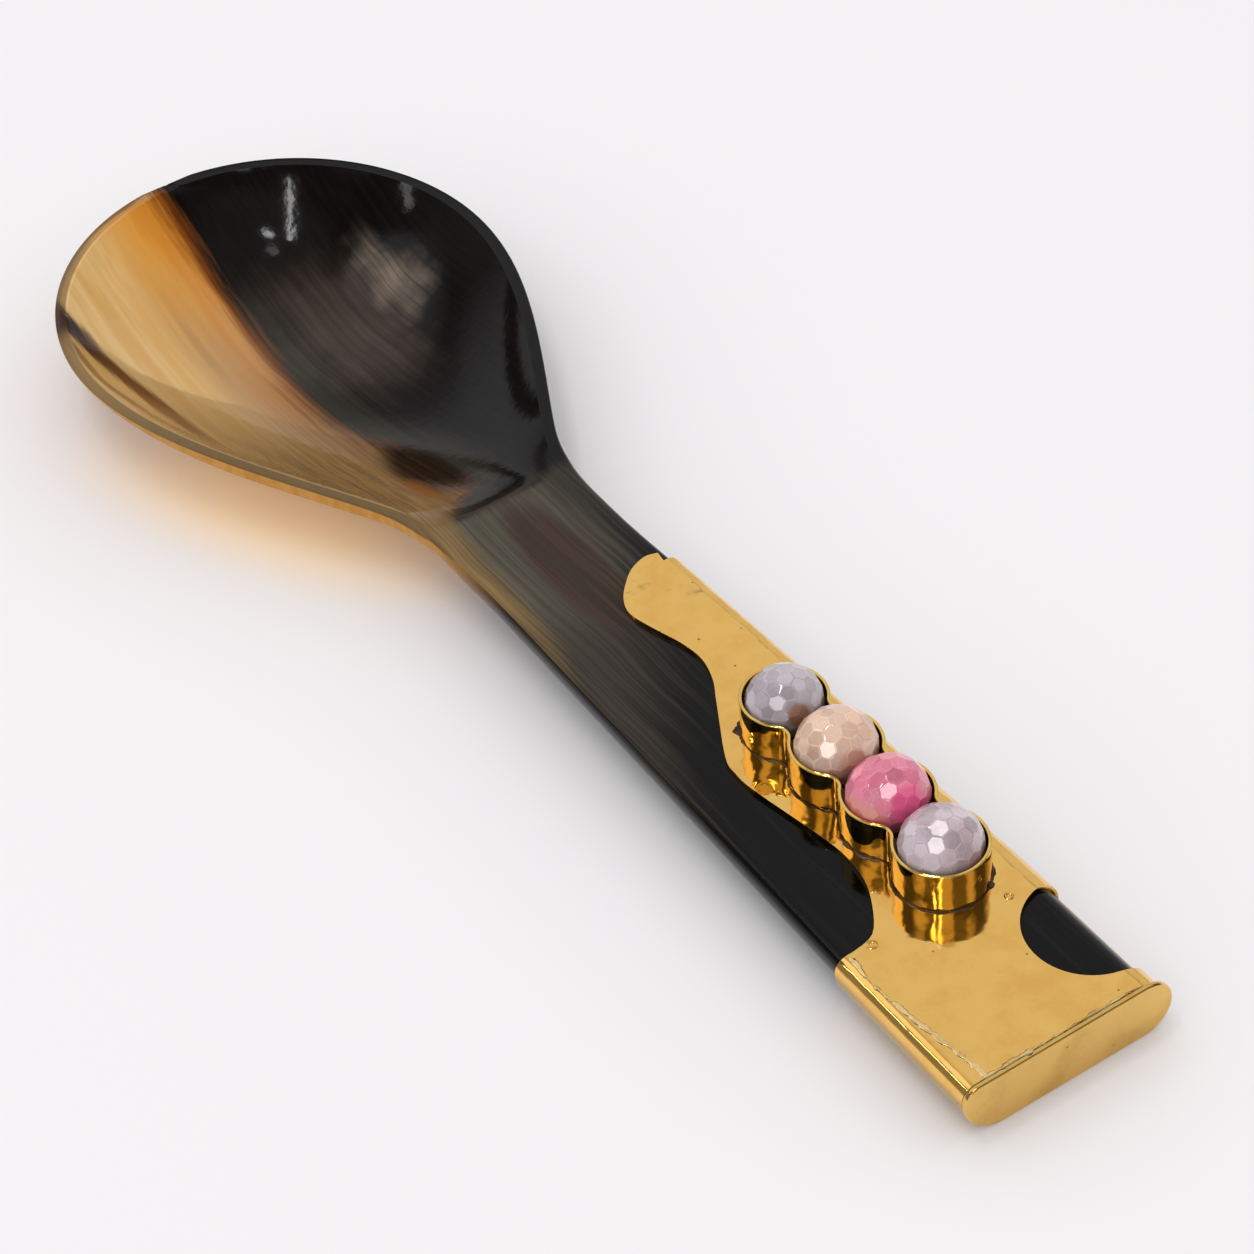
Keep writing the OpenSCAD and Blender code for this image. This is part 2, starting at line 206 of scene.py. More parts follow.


# %% [markdown]
# The floor is plain and pale, and it keeps the shadow. Light that falls through clear horn leaves
# an amber glow on the table. The horn here is opaque, so the glow is painted: a soft oval of
# painted light in the floor's own colour, where the floor also shines a little by itself.

# %% Floor
bpy.ops.object.select_all(action="DESELECT")
bpy.ops.mesh.primitive_plane_add(size=3.0, location=(0, 0, -0.00002))
floor = bpy.context.object
floor.name = "floor"

floor_material, tree = new_material("pale_floor")
# The oval's middle, turn and half sizes, in metres, beside the bowl
oval = add(tree, "ShaderNodeMapping", {
    "Vector": add(tree, "ShaderNodeTexCoord").outputs["Object"], "Location": (0.050, 0.021, 0),
    "Rotation": (0, 0, math.radians(23)), "Scale": (0.052, 0.019, 1)}, vector_type="TEXTURE")
# Painted light: a warm oval for light through the horn, where the floor also shines a little
painted_glow = ramp(tree, vectors(tree, "LENGTH", oval.outputs[0]), 0.1, 1.0, 1.0, 0.0)
surface(tree, {
    "Base Color": mix(tree, painted_glow, paint(242, 240, 240), paint(242, 224, 192)),
    "Roughness": 0.8, "Specular IOR Level": 0.1, "Emission Strength": 0.2,
    "Emission Color": mix(tree, painted_glow, (0, 0, 0, 1), paint(255, 220, 172))})
floor.data.materials.append(floor_material)
print("floor:", tuple(round(v, 2) for v in floor.dimensions), "m")

# %% [markdown]
# Plain even light falls on everything, so that colours render as they are. What polished brass
# and horn mirror is drawn as a studio in the world, and only mirrored rays see it. Each part of
# the studio is a soft step in the direction that a ray takes: its height, and how far it leans
# towards the far side of the bowl, behind the camera, or to the sides.

# %% Directions in the studio
world = bpy.data.worlds.new("studio")
bpy.context.scene.world = world
world.use_nodes = True
tree = world.node_tree
tree.nodes.clear()
direction = add(tree, "ShaderNodeTexCoord").outputs["Generated"]
way_x, way_y, height = xyz(tree, direction)


def lean(x_share, y_share):
    """How far a direction leans to one side of the studio."""
    return math_node(tree, "ADD", times(tree, way_x, x_share), times(tree, way_y, y_share))


towards, behind, sideways = lean(0.906, -0.423), lean(-0.88, 0.48), lean(0.48, 0.88)
print("studio:", len(tree.nodes), "nodes for directions")

# %% [markdown]
# Beyond the bowl stands a bright card, with a dark gap between it and the table. Its foot rises
# in a hump, so that the gap is no straight band. A soft bright ceiling lies above, on that side.

# %% Card, ceiling and table beyond the bowl
hump = vectors(tree, "DISTANCE", direction, (0.83, -0.44, 0.33))
card_foot = math_node(tree, "ADD", math_node(tree, "MULTIPLY_ADD", way_y, -0.05, 0.212),
                      ramp(tree, hump, 0.0, 0.36, 0.115, 0.0))
above_foot = math_node(tree, "SUBTRACT", height, card_foot)
card = times(tree, ramp(tree, above_foot, -0.012, 0.012),
             ramp(tree, towards, 0.5, 0.85, 0.05, 0.62), ramp(tree, height, 0.36, 0.48, 1.0, 0.45))
ceiling = times(tree, ramp(tree, height, 0.46, 0.64), ramp(tree, towards, 0.08, 0.62, 0.07, 0.77))
from_table_end = vectors(tree, "DISTANCE", direction, (0.94, -0.27, 0.2))
table_end = ramp(tree, from_table_end, 0.0, 0.12, 0.20, 0.12)
above_table = math_node(tree, "SUBTRACT", height, table_end)
table = ramp(tree, above_table, -0.015, 0.015, 0.5, 0.03)
print("studio:", len(tree.nodes), "nodes with the card, ceiling and table")

# %% [markdown]
# The upright walls of the bezel mirror what stands behind the camera: a bright wall with darker
# gaps and one narrow bright slit. The beads have flat facets, so that a small window lights up
# single facets.

# %% Wall behind the camera, round cards and windows
gaps = ramp(tree, math_node(tree, "SINE", math_node(tree, "MULTIPLY_ADD", sideways, 9.0, 1.9)),
            -0.6, 0.3, 0.25, 1.0)
back_wall = times(tree, ramp(tree, behind, 0.12, 0.4, 0.0, 0.6),
                  ramp(tree, height, 0.72, 0.84, 1.0, 0.0), ramp(tree, height, 0.12, 0.22), gaps)
slit = times(tree, ramp(tree, apart(tree, sideways, 0.1), 0.045, 0.03, 0.0, 3.2),
             ramp(tree, behind, 0.5, 0.62))
overhead = ramp(tree, height, 0.90, 0.96, 0.0, 0.35)
# The direction of each, how far out it starts to fade and where it ends, and its strength
round_lights = [
    ((0.66, -0.70, 0.28), 0.27, 0.42, 0.72),    # card low on the left
    ((0.57, 0.28, 0.77), 0.20, 0.30, 1.1),      # card above the wavy edge of the brass
    ((0.66, 0.68, 0.32), 0.20, 0.60, 0.26),     # faint glow low on the right
    ((-0.42, 0.68, 0.60), 0.055, 0.075, 4.0),   # windows behind the camera
    ((-0.42, 0.52, 0.74), 0.040, 0.060, 4.0),
    ((-0.51, 0.21, 0.84), 0.040, 0.060, 4.0),
    ((0.07, -0.05, 0.996), 0.030, 0.050, 4.0)]  # window overhead
studio = [card, ceiling, table, back_wall, slit, overhead]
for light_at, fades_from, ends_at, strength in round_lights:
    far = vectors(tree, "DISTANCE", direction, light_at)
    studio.append(ramp(tree, far, fades_from, ends_at, strength, 0.0))
plain_level = 0.93
in_mirror = add(tree, "ShaderNodeLightPath").outputs["Is Glossy Ray"]
brightness = add(tree, "ShaderNodeMix", {
    0: in_mirror, 2: plain_level, 3: chain(tree, "MAXIMUM", studio)}, data_type="FLOAT").outputs[0]
sky = add(tree, "ShaderNodeBackground", {"Color": paint(252, 252, 254), "Strength": brightness})
add(tree, "ShaderNodeOutputWorld", {"Surface": sky.outputs[0]})
print("studio:", len(studio), "parts,", len(tree.nodes), "nodes")

# %% [markdown]
# Three narrow lamps give the sparkles: a long and a short line in the hollow of the bowl, and a
# spark on the beads. Each lamp is placed by the direction in which it is seen from the piece that
# mirrors it, so it is easy to move a sparkle.

# %% Lamps
lamp_distance = 1.0


def strip_lamp(name, seen_from, way, length_way, length, width, power):
    """A narrow lamp that lies in one direction from a place, with its long side along another."""
    data = bpy.data.lights.new(name, "AREA")
    data.shape = "RECTANGLE"
    data.size = length
    data.size_y = width
    data.energy = power
    lamp = bpy.data.objects.new(name, data)
    back = Vector(way).normalized()
    side = Vector(length_way)
    side = (side - back * side.dot(back)).normalized()
    place = Vector(seen_from) + back * lamp_distance
    stand(lamp, side, back.cross(side), back, place)
    print(name, "at", tuple(round(v, 2) for v in place))


in_bowl_at, beads_at = (0.105, -0.012, 0.0), (-0.09, -0.004, 0.01)
strip_lamp("long_strip", in_bowl_at, (-0.1, 0.24, 0.96), (0.7, -0.7, 0.0), 0.46, 0.03, 1.1)
strip_lamp("short_strip", in_bowl_at, (0.35, 0.645, 0.68), (0.7, -0.7, 0.0), 0.16, 0.04, 0.12)
strip_lamp("bead_spark", beads_at, (0.16, 0.0, 0.99), (1.0, 0.0, 0.0), 0.05, 0.05, 0.2)

# %% [markdown]
# ## The horn
# The spoon is one piece of horn, sawn, heated, pressed and polished. Its surface is smooth and
# shows every ripple, so the facets of the plain solid would show too. The same outline, hollow and
# underside are therefore drawn again with closer sections. A flat grid of squares is added, and
# each of its rows is laid round the spoon as one section.

# %% Sizes of the horn, in millimetres, as in the part's source
sleeve_len, tongue_len = 27.6, 110.3
neck_x, wide_x, tip_x = 137.0, 202.0, 243.2
end_w, neck_w, bowl_w = 31.8, 24.7, 74.4
end_t, neck_t, bowl_wall, bowl_depth = 7.6, 7.0, 2.2, 13.4
rim_w, rim_edge, tip_edge, rim_round = 2.2, 2.1, 0.5, 0.4
edge_r, far_r, side_flat = 1.5, 3.6, 0.3
drift_per_mm = math.tan(math.radians(0.75))  # the handle's middle runs a little to one side
fold_end = sleeve_len + 0.97 * (tongue_len - sleeve_len)
flank_slope, neck_blend = 0.46, 3.0
lip_x, deep_x = neck_x - 1, wide_x - 3
bowl_back, bowl_front = wide_x - neck_x, tip_x - wide_x
# Powers of the curves of the hollow: towards the handle, towards the tip, and across
back_power, front_power, cross_power = 1.9, 2.4, 2.4
# Along x: how far before a mark a change begins, and over how far it runs
change_before, change_run = 14, 26      # from the section of the handle to that of the bowl
soft_before, soft_rise, soft_fall = 26, 16, 14    # the softened corner at the neck
thin_before, thin_run = 38, 42          # the rim gets thinner towards the tip
# The flat of the rim is at least this wide, and the hollow at least this share of the outline.
least_flat, least_inside = 0.2, 0.15
print("bowl:", bowl_w, "mm wide and", round(bowl_back + bowl_front, 1), "mm long")


# %% [markdown]
# Seen from above, the handle tapers straight, a smooth curve opens the flank of the bowl, and half
# an oval closes its front. Handle and flank run into each other in a soft corner. The hollow falls
# from the lip to its deepest place and rises to the tip, and the underside follows a wall below.

# %% Helpers for curves
def clamp(t):
    return np.clip(t, 0.0, 1.0)


def ease(t):
    c = clamp(t)
    return c * c * (3 - 2 * c)


def between(a, b, t):
    return a + (b - a) * t


# %% Outline of the horn
def middle(x):
    return max(0.0, x - sleeve_len) * drift_per_mm


def bowlness(x):
    """0 on the handle and 1 on the bowl."""
    return float(ease((x - neck_x + change_before) / change_run))


def handle_half(x):
    if x < sleeve_len:
        return end_w / 2
    return between(end_w / 2, neck_w / 2, (x - sleeve_len) / (neck_x - sleeve_len))


def outer_half(x):
    if x > wide_x:
        return bowl_w / 2 * math.sqrt(max(0.0, 1 - ((x - wide_x) / bowl_front) ** 2))
    flank = neck_w / 2 + flank_slope * (x - neck_x)
    if x > neck_x:
        u = (x - neck_x) / bowl_back
        flank = (neck_w / 2 * (2 * u ** 3 - 3 * u ** 2 + 1)
                 + flank_slope * bowl_back * (u ** 3 - 2 * u ** 2 + u)
                 + bowl_w / 2 * (3 * u ** 2 - 2 * u ** 3))
    soft = neck_blend * float(ease((x - neck_x + soft_before) / soft_rise)
                              * ease(1 - (x - neck_x) / soft_fall))
    a, b = handle_half(x), flank
    return (a + b + math.sqrt((a - b) ** 2 + soft ** 2)) / 2


def inner_half(x):
    if x <= wide_x:
        return outer_half(x) - rim_w
    inside_x = (x - wide_x) / (bowl_front - rim_w)
    inside = (bowl_w / 2 - rim_w) * math.sqrt(max(0.0, 1 - inside_x ** 2))
    return max(inside, least_inside * outer_half(x))


print("half width at the neck and the bowl:", round(outer_half(neck_x), 2), outer_half(wide_x))


# %% Hollow and underside of the horn
def hollow_mid(x):
    if x <= lip_x:
        return 0.0
    if x < deep_x:
        return bowl_depth * (1 - ((deep_x - x) / (deep_x - lip_x)) ** back_power)
    to_tip = float(clamp((x - deep_x) / (tip_x - rim_w - deep_x)))
    return bowl_depth * (1 - to_tip ** front_power)


lip_slope = bowl_depth * back_power / (deep_x - lip_x)
lip_round = 0.42
thick_run = 2 * (neck_t - bowl_wall) / lip_slope


def hollow_soft(x):
    """Depth of the hollow with its lip rounded over, as polishing leaves it."""
    depth = hollow_mid(x) if x > lip_x else lip_slope * (x - lip_x)
    if depth > 6 * lip_round:
        return depth
    return lip_round * math.log(1 + math.exp(depth / lip_round))


def horn_t(x):
    if x < sleeve_len:
        return end_t
    if x < lip_x:
        return between(end_t, neck_t, (x - sleeve_len) / (lip_x - sleeve_len))
    return bowl_wall + (neck_t - bowl_wall) * float(clamp(1 - (x - lip_x) / thick_run)) ** 2


def under_mid(x):
    if x < deep_x:
        return hollow_mid(x) + horn_t(x)
    to_tip = float(clamp((x - deep_x) / (tip_x - deep_x)))
    return tip_edge + (bowl_depth + bowl_wall - tip_edge) * (1 - to_tip ** front_power)


def far_edge_r(x):
    return between(far_r, edge_r, float(clamp((x - sleeve_len) / (fold_end - sleeve_len))))


print("thickness at the lip:", round(horn_t(lip_x), 2), "mm, and at the deepest:", horn_t(deep_x))


# %% [markdown]
# A section is drawn from the middle of the top to the middle of the underside: hollow, flat rim,
# rounded edge, side and belly. The two halves differ, because the far edge of the handle is
# rounder under the folded brass. Spinning a profile would be simpler, but the spoon isn't round.

# %% One half of a section
def half_section(x, upper_r):
    """Points (y, z) from the middle of the top round the edge to the middle of the underside."""
    s, w = bowlness(x), outer_half(x)
    r = between(upper_r, rim_round, s)
    inner = min(inner_half(x), w - r - least_flat)
    low_r = horn_t(min(x, lip_x)) - upper_r - side_flat
    rim_side = between(rim_edge, tip_edge, float(ease((x - wide_x + thin_before) / thin_run)))
    side = between(upper_r + side_flat, rim_side, s)
    share = np.concatenate([np.linspace(0, 0.8, 22), np.linspace(0.82, 1, 10)])
    top = np.stack([inner * share, -hollow_soft(x) * (1 - share ** cross_power)], 1)
    flat = np.stack([np.linspace(inner, w - r, 4)[1:-1], np.zeros(2)], 1)
    angle = np.radians(np.linspace(0, 90, 9))
    edge = np.stack([w - r + r * np.sin(angle), -r + r * np.cos(angle)], 1)
    corner = between(low_r, w, s)
    g = w * np.cos(np.radians(np.linspace(0, 90, 34)))[1:]
    v = clamp((g - (w - corner)) / corner)
    fall = (1 - v ** between(2, cross_power, s)) ** between(0.5, 1, s)
    low = np.stack([g, -side - (under_mid(x) - side) * fall], 1)
    return np.concatenate([top, flat, edge, [[w, -side]], low])


print("points in half a section:", len(half_section(wide_x, edge_r)))


# %% Lay a grid round a piece
def wrap(name, points):
    """Adds a grid and lays its rows over points[row][place], which are in millimetres."""
    rows, around = points.shape[:2]
    bpy.ops.object.select_all(action="DESELECT")
    bpy.ops.mesh.primitive_grid_add(x_subdivisions=around, y_subdivisions=rows - 1, size=1)
    made = bpy.context.object
    made.name = name
    made.data.name = name
    corner = np.empty(len(made.data.vertices) * 3)
    made.data.vertices.foreach_get("co", corner)
    corner = corner.reshape(-1, 3) + 0.5
    column = np.rint(corner[:, 0] * around).astype(int) % around
    row = np.rint(corner[:, 1] * (rows - 1)).astype(int)
    made.data.vertices.foreach_set("co", lay(points[row, column]).ravel())
    made.data.update()
    return made


def close_up(made, weld, angle):
    """Welds the seam of a wrapped grid, fills its open ends and turns every face outwards."""
    bpy.context.view_layer.objects.active = made
    bpy.ops.object.mode_set(mode="EDIT")
    bpy.ops.mesh.select_all(action="SELECT")
    bpy.ops.mesh.remove_doubles(threshold=weld)
    bpy.ops.mesh.select_all(action="DESELECT")
    bpy.ops.mesh.select_non_manifold(extend=False)
    bpy.ops.mesh.fill_holes(sides=0)
    bpy.ops.mesh.select_all(action="SELECT")
    bpy.ops.mesh.normals_make_consistent(inside=False)
    bpy.ops.object.mode_set(mode="OBJECT")
    bpy.ops.object.shade_smooth_by_angle(angle=math.radians(angle))
    return made


# %% The horn from its sections
last_x = wide_x + bowl_front * math.sin(math.radians(86))


def ring(x):
    """One whole section of the horn, with its tip rounded over like the rest of the rim."""
    near, far = half_section(x, edge_r), half_section(x, far_edge_r(x))
    both = np.concatenate([near, far[-2:0:-1] * (-1, 1)])
    past = max(0.0, x - last_x + rim_round)
    top = math.sqrt(max(0.0, rim_round ** 2 - past ** 2)) - rim_round
    both[:, 1] = np.minimum(both[:, 1], top)
    return np.stack([np.full(len(both), x), middle(x) + both[:, 0], both[:, 1]], 1)


# The sections lie closer where the neck begins, and closest at the tip.
neck_from = 112
places = np.concatenate([
    np.linspace(0, sleeve_len, 8), np.linspace(sleeve_len, neck_from, 40)[1:],
    np.linspace(neck_from, lip_x, 26)[1:], np.linspace(lip_x, wide_x, 72)[1:],
    wide_x + (last_x - wide_x) * np.sin(np.radians(np.linspace(0, 89.2, 60)))[1:]])
horn = close_up(wrap("horn", np.stack([ring(x) for x in places])), weld=1e-7, angle=20)
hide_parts("horn_spoon")
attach(horn, "root")
print("horn:", len(horn.data.vertices), "vertices", len(horn.data.polygons), "faces")

# %% [markdown]
# The horn is amber and clear along one side of the bowl, and near black on the other. The border
# follows the fibres of the horn, and it is kept as a line in the straight drawing. Each vertex
# stores its straight place in millimetres and how far it lies from the lines, so that the material
# can shade across them softly.

# %% Lines of colour in the horn
amber_line = [(92, 14.3), (101.7, 12.4), (114.5, 11.2), (125.8, 11.2), (136.7, 10), (141, 6),
              (143.7, 2.3), (150.8, 1), (159, 1), (166.1, 2.6), (174.8, 5.2), (182.5, 6.6),
              (189.1, 6.7), (196.3, 6.5), (206.6, 5.6), (215.5, 5.3), (229.1, 4.9), (235.2, 4.9),
              (242.3, 5.9)]
# The tan line bounds a painted reflection: beyond it the amber is painted darker olive tan.
painted_reflection_line = [(160, 2), (174, 5.7), (184.6, 11.1), (195.2, 16.5), (199.1, 20.7), (203.6, 24.6),
            (207.5, 27.8), (212, 29.9), (219, 33.5), (226, 38)]
# Streaks: along the spoon, across it, and half the width of the streak
dark_streak = [(172.7, 28.4, 1.6), (190.6, 29.1, 1.7), (201.4, 30.8, 1.6), (208.5, 32.3, 1.5),
               (213.3, 33.6, 1.6), (217.3, 34.3, 2.2), (221, 35.2, 2.0)]
thin_streak = [(172, 26.8, 0.9), (179.9, 30.2, 1.0), (190.1, 33.8, 0.9), (197.3, 35.4, 0.8),
               (203, 36.6, 0.7)]


def along_line(points, x, column=1):
    return np.interp(x, [p[0] for p in points], [p[column] for p in points])


def keep(made, name, values, size=1):
    """Stores a value, or a vector of three, at every vertex."""
    kind, key = ("FLOAT", "value") if size == 1 else ("FLOAT_VECTOR", "vector")
    layer = made.data.attributes.new(name, kind, "POINT")
    layer.data.foreach_set(key, np.ascontiguousarray(values, dtype=np.float32).ravel())


def straight(made):
    """The places of an object's vertices in the straight drawing, in millimetres."""
    place = np.empty(len(made.data.vertices) * 3)
    made.data.vertices.foreach_get("co", place)
    back = np.array(laid_down.inverted())
    return place.reshape(-1, 3) @ back[:3, :3].T + back[:3, 3]


# %% Store the lines on the horn
drawn = straight(horn)
x, y, z = drawn.T
across = np.abs(y - np.array([middle(v) for v in x]))
inner = np.array([inner_half(v) for v in x])
outer = np.array([outer_half(v) for v in x])
share_out = np.clip((across - inner) / np.maximum(outer - inner, 0.05), 0, 1)
sunk = 1 - np.clip(across / inner, 0, 1) ** cross_power
hollow_at = np.array([hollow_mid(v) for v in x]) * sunk
# The upper side lies close to the depth of the hollow, and ends just below the top of the edge.
upper = (z > -hollow_at - 0.6) & ((share_out < 0.99) | (z > -0.12))
keep(horn, "drawn", drawn, 3)
# The band is 0 in the hollow, 1 on the flat rim, and 2 on the outside and the underside.
keep(horn, "band", np.where(upper, np.clip(share_out * 4, 0, 1), 2.0))
keep(horn, "edge", share_out)
for name, line in (("amber", amber_line), ("tan", painted_reflection_line)):
    keep(horn, name, y - along_line(line, x))
for name, line in (("dark_streak", dark_streak), ("thin_streak", thin_streak)):
    keep(horn, name, (y - along_line(line, x)) / along_line(line, x, 2))
print("stored on the horn:", [a.name for a in horn.data.attributes if not a.is_internal])

# %% [markdown]
# Fibres run along the horn. One group of nodes draws them for both the colour and the polish: it
# takes the straight place, stretches a noise along the spoon, and gives back a fine and a broad
# streak from 0 to 1.


# %% Group of fibre streaks
def new_group(name, wanted, given):
    """A node group with its own inputs and outputs, and the nodes that stand for them."""
    group = bpy.data.node_groups.new(name, "ShaderNodeTree")
    for label, kind, value in wanted:
        socket = group.interface.new_socket(label, in_out="INPUT", socket_type=kind)
        if value is not None:
            socket.default_value = value
    for label, kind in given:
        group.interface.new_socket(label, in_out="OUTPUT", socket_type=kind)
    group_in = group.nodes.new("NodeGroupInput").outputs
    return group, group_in, group.nodes.new("NodeGroupOutput").inputs


fibres, group_in, group_out = new_group(
    "fibre_streaks", [("Place", "NodeSocketVector", None), ("Bend", "NodeSocketFloat", 2.0)],
    [("Fine", "NodeSocketFloat"), ("Broad", "NodeSocketFloat"), ("Bump", "NodeSocketFloat")])
slow = noise(fibres, group_in["Place"], 0.035, wanted="Color")
pushed = vectors(fibres, "SUBTRACT", slow, (0.5, 0.5, 0.5))
pushed = vectors(fibres, "SCALE", pushed, Scale=group_in["Bend"])
bent = vectors(fibres, "ADD", group_in["Place"], pushed)
for label, stretch, detail in (("Fine", (0.022, 1.5, 0.25), 4.0),
                               ("Broad", (0.010, 0.36, 0.08), 2.0)):
    stretched = vectors(fibres, "MULTIPLY", bent, stretch)
    fibre = noise(fibres, stretched, 1.0, detail, 0.6)
    fibres.links.new(ramp(fibres, fibre, 0.34, 0.66), group_out[label])
fibres.links.new(noise(fibres, group_in["Place"], 0.55, 3.0), group_out["Bump"])
print(fibres.name, len(fibres.nodes), "nodes")

# %% [markdown]
# The horn's colours are laid over one another, each where its own share is high. The numbers
# along the spoon and across it are millimetres in the straight drawing.


# %% Start of the horn material
def blob(tree, place, middle_at, radii, even):
    """1 inside an oval of the straight drawing, out to a share of its radii, and 0 at its edge."""
    moved = vectors(tree, "SUBTRACT", place, middle_at)
    scaled = vectors(tree, "MULTIPLY", moved, [1 / r for r in radii])
    return ramp(tree, vectors(tree, "LENGTH", scaled), even, 1.0, 1.0, 0.0)


def fibrous(first, second):
    """Two colours of the horn, mixed by its fine fibres."""
    return mix(tree, fine, paint(*first), paint(*second))


horn_material, tree = new_material("horn")
place = stored(tree, "drawn", "Vector")
along, side, level = xyz(tree, place)
streaks = add(tree, "ShaderNodeGroup", {"Place": place, "Bend": 3.0}, node_tree=fibres).outputs
fine, broad = streaks["Fine"], streaks["Broad"]
# The border of the amber wanders by a millimetre or so with the fibres.
both = math_node(tree, "ADD", fine, broad)
border = math_node(tree, "ADD", stored(tree, "amber"),
                   math_node(tree, "MULTIPLY_ADD", both, 0.9, -0.9))
clear = ramp(tree, border, -1.2, 1.4)
to_tip = ramp(tree, along, 165, 225)
print("horn material:", len(tree.nodes), "nodes to start with")

# %% [markdown]
# The amber is palest in the middle. It gets browner towards the black side, darker towards the
# neck, and olive tan beyond a soft curve near the edge, which is a painted reflection of darker
# surroundings in the near wall. By the lip lies a painted dark patch, which stands for a dark
# reflection there.

# %% Amber side of the bowl
amber = mix(tree, broad, paint(213, 167, 101), paint(224, 186, 124))
amber = glaze(tree, amber, paint(188, 138, 72), fine, 0.12)
shaded = blob(tree, place, (213, 14, -8), (33, 6.5, 30), 0.1)
amber = glaze(tree, amber, paint(150, 102, 54), shaded, ramp(tree, broad, -0.5, 1.0), 0.65)
# Painted reflection: darker olive tan beyond the tan line, as the near wall mirrors darker things.
amber = glaze(tree, amber, paint(158, 124, 72), ramp(tree, stored(tree, "tan"), -0.7, 0.9), 0.5)
amber = glaze(tree, amber, paint(220, 146, 42), ramp(tree, along, 205, 240),
              ramp(tree, border, 19.0, 6.0), 0.8)
rosy = blob(tree, place, (195, 11, -8), (32, 10, 20), 0.2)
amber = glaze(tree, amber, paint(176, 136, 100), rosy, 0.6)
to_neck = ramp(tree, along, 207, 163)
amber = glaze(tree, amber, fibrous((96, 68, 40), (134, 100, 58)), to_neck, 0.85)
brown_edge = mix(tree, to_tip, paint(106, 72, 48), paint(186, 104, 10))
amber = glaze(tree, amber, brown_edge, ramp(tree, border, 9.0, 2.0), 0.5)
burnt_edge = mix(tree, to_tip, paint(70, 44, 32), paint(96, 38, 6))
amber = glaze(tree, amber, burnt_edge, ramp(tree, border, 3.0, -0.6), 0.85)
# Painted reflection: a near black patch by the lip stands for a dark reflection in the slope there.
painted_dark_reflection = blob(tree, place, (158, 2.6, 0), (16, 7, 30), 0.5)
amber = glaze(tree, amber, fibrous((14, 9, 7), (36, 20, 12)), painted_dark_reflection, 0.92)
beside_patch = blob(tree, place, (151, 7.2, 0), (8, 2.2, 30), 0.1)
amber = glaze(tree, amber, paint(140, 78, 26), beside_patch, 0.7)
print("horn material:", len(tree.nodes), "nodes with the amber")

# %% [markdown]
# The dark side is near black, with a brown cloud and a smaller pale patch, which is a painted
# reflection. A slow noise pushes their ovals about, so that they have no even edge. Two dark
# streaks run in the amber by the rim.

# %% Dark side of the bowl, and streaks near its edge
push = 13.0
uneven = noise(tree, place, 0.11, 3.0, wanted="Color")
uneven = vectors(tree, "MULTIPLY_ADD", uneven, (push,) * 3, place)
uneven = vectors(tree, "SUBTRACT", uneven, (push / 2,) * 3)
dark = fibrous((13, 10, 9), (19, 15, 13))
cloud = blob(tree, uneven, (201, -7, -10), (27, 15, 20), 0.1)
dark = glaze(tree, dark, fibrous((68, 55, 46), (82, 69, 59)), cloud,
             ramp(tree, broad, -1.0, 0.9), 0.85)
dark = glaze(tree, dark, paint(62, 60, 50), ramp(tree, border, -9.0, -1.0),
             ramp(tree, along, 232, 200), 0.6)
# Painted reflection: a pale patch in the dark hollow, broken up by the fibres.
painted_pale_reflection = blob(tree, uneven, (206, -19.5, -8), (14, 6.5, 12), 0.0)
dark = glaze(tree, dark, paint(140, 124, 108), painted_pale_reflection, ramp(tree, fine, -0.9, 0.9), 0.8)
hollow = mix(tree, ramp(tree, border, -2.4, 0.4), dark, amber)

for name, low, high, strength in (("dark_streak", 170, 186, 1.0), ("thin_streak", 176, 186, 0.7)):
    from_line = math_node(tree, "ABSOLUTE", stored(tree, name))
    thick = math_node(tree, "ADD", from_line, math_node(tree, "MULTIPLY_ADD", fine, 0.4, -0.2))
    shade = mix(tree, ramp(tree, along, 206, 218), paint(104, 66, 30), paint(34, 12, 4))
    hollow = glaze(tree, hollow, shade, ramp(tree, thick, 1.5, 0.5),
                   ramp(tree, along, low, high), strength, ramp(tree, along, 168, 205, 0.7, 1.0))
print("horn material:", len(tree.nodes), "nodes with the hollow")

# %% [markdown]
# The handle is olive on the near side, with grey green and brown streaks between, and black
# further on. The black begins at a slant. A thin dark line is painted at the lip of the bowl, as a
# painted reflection on the edge of the slope there.

# %% Neck and handle
olive = fibrous((104, 82, 50), (130, 106, 68))
olive = glaze(tree, olive, fibrous((66, 54, 36), (92, 76, 50)), ramp(tree, along, 122, 96))
grey_green = fibrous((68, 62, 50), (82, 78, 66))
grey_green = glaze(tree, grey_green, fibrous((47, 41, 34), (60, 54, 45)),
                   ramp(tree, along, 118, 96))
brown_at = blob(tree, place, (116, 1.0, 0), (23, 6.4, 40), 0.55)
shaft = glaze(tree, grey_green, fibrous((44, 30, 24), (68, 50, 40)), brown_at,
              ramp(tree, fine, -0.6, 0.5))
shaft = glaze(tree, shaft, fibrous((40, 37, 31), (58, 54, 44)), ramp(tree, side, -3.0, -8.5))
drift = math_node(tree, "ADD", along, math_node(tree, "MULTIPLY_ADD", both, 8.0, -8.0))
slant = math_node(tree, "ADD", drift, times(tree, side, 1.95))
black = mix(tree, times(tree, fine, broad), paint(5, 5, 5), paint(22, 17, 14))
shaft = glaze(tree, shaft, black, ramp(tree, slant, 112, 80))
shaft = glaze(tree, shaft, olive, clear, ramp(tree, along, 78, 104))
# Painted reflection: a thin dark line across the lip of the bowl.
painted_lip_reflection = ramp(tree, apart(tree, along, 137.0), 2.2, 0.7)
shaft = glaze(tree, shaft, paint(40, 24, 26), painted_lip_reflection, ramp(tree, side, 9.8, 8.6),
              ramp(tree, side, -7.5, -5.0), 0.85)
body = mix(tree, ramp(tree, along, 135.5, 139.0), shaft, hollow)
print("horn material:", len(tree.nodes), "nodes with the handle")
